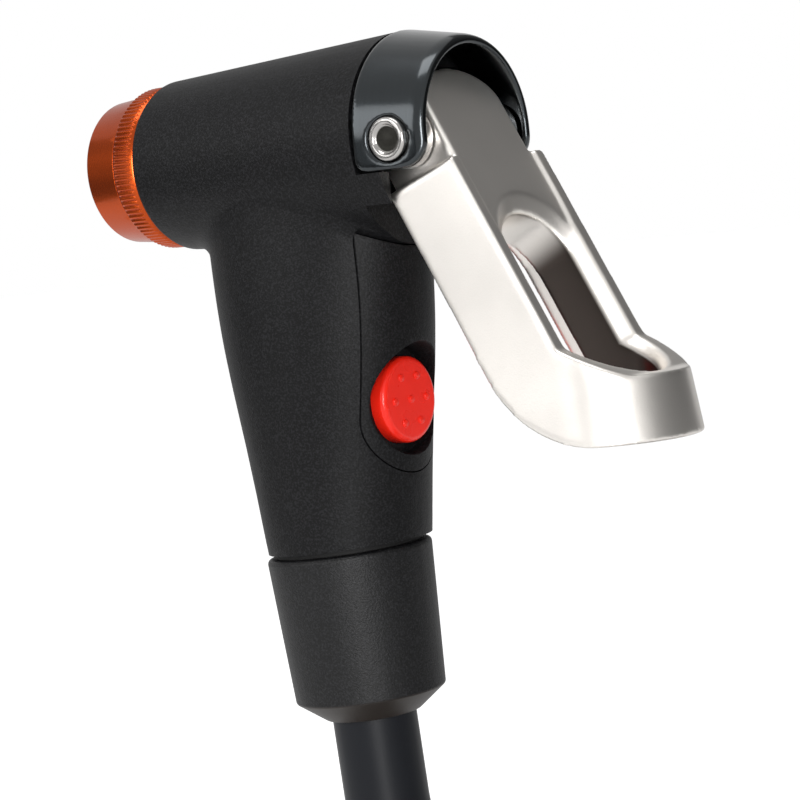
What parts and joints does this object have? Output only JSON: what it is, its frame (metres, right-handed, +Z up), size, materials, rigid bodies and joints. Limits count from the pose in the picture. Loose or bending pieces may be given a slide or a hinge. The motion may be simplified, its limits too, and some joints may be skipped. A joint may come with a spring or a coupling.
{
  "type": "tire inflator hose head",
  "caption": "Right-angled tire inflator head with a knurled valve collar, cam lever, bleed button, swivel nut and a coiled air hose ending in a threaded fitting.",
  "frame": {"origin": "centre of the valve port's mouth, on the front face of the collar", "axes": "-X out of the valve port, +X back to the lever, +Z up away from the hose, Y across; the head is alike on both sides of Y = 0"},
  "size_m": [0.1835, 0.1395, 0.162],
  "materials": {
    "body_plastic": "fine grained matte black",
    "nut_plastic": "fine grained matte black, smooth cone",
    "orange_anodised": "glossy orange anodised",
    "black_anodised": "glossy black anodised, lightly brushed",
    "satin_nickel": "satin nickel",
    "chrome": "polished",
    "red_plastic": "glossy red",
    "hose_rubber": "satin blue black",
    "seal_rubber": "matte black",
    "brass": "turned",
    "plunger_metal": "turned",
    "steel": "plain"
  },
  "bodies": {
    "head": {"head_body": "body_plastic", "rear_cover": "body_plastic", "valve_grommet": "seal_rubber", "lever_hood": "black_anodised", "pivot_pin": "chrome", "pin_screw": "chrome", "pivot_washers": "steel", "bleed_seat": "brass", "bleed_spring": "steel", "nut_washer": "seal_rubber", "hose_nut": "nut_plastic", "hose_barb": "brass", "barb_seal": "seal_rubber", "hose_ferrule": "plunger_metal", "hose_drop": "hose_rubber", "hose_coil": "hose_rubber", "end_ferrule": "chrome", "end_fitting": "brass", "end_seal": "seal_rubber"},
    "washer": {"slip_washer": "brass"},
    "collar": {"valve_collar": "orange_anodised"},
    "plunger": {"plunger": "plunger_metal", "plunger_seals": "seal_rubber", "core_pin": "brass", "cam_follower": "steel"},
    "lever": {"cam_lever": "satin_nickel"},
    "bleed": {"bleed_button": "red_plastic", "bleed_stem": "steel", "bleed_seal": "seal_rubber"}
  },
  "joints": [
    {"name": "lever_swing", "type": "hinge", "parent": "head", "child": "lever", "pos_m": [0.048, 0, -0.0003], "axis": [0, -1, 0], "range_deg": [-27.4, 62.6]},
    {"name": "plunger_slide", "type": "slide", "parent": "head", "child": "plunger", "axis": [-1, 0, 0], "range_m": [-0.00075, 0.0017]},
    {"name": "bleed_press", "type": "slide", "parent": "head", "child": "bleed", "axis": [-1, 0, 0], "range_m": [0, 0.0012], "stiffness_N_per_m": 900, "springref_m": -0.001, "deforming": ["bleed_spring"]},
    {"name": "collar_travel", "type": "slide", "parent": "head", "child": "washer", "axis": [-1, 0, 0], "range_m": [0, 0.003]},
    {"name": "collar_turn", "type": "hinge", "parent": "washer", "child": "collar", "pos_m": [0, 0, 0], "axis": [-1, 0, 0], "range_deg": [0, 1080]}
  ],
  "couplings": [
    {"joint": "plunger_slide", "follows": "lever_swing", "m_per_rad": 0.0015279},
    {"joint": "collar_turn", "follows": "collar_travel", "rad_per_m": 6283.2}
  ]
}
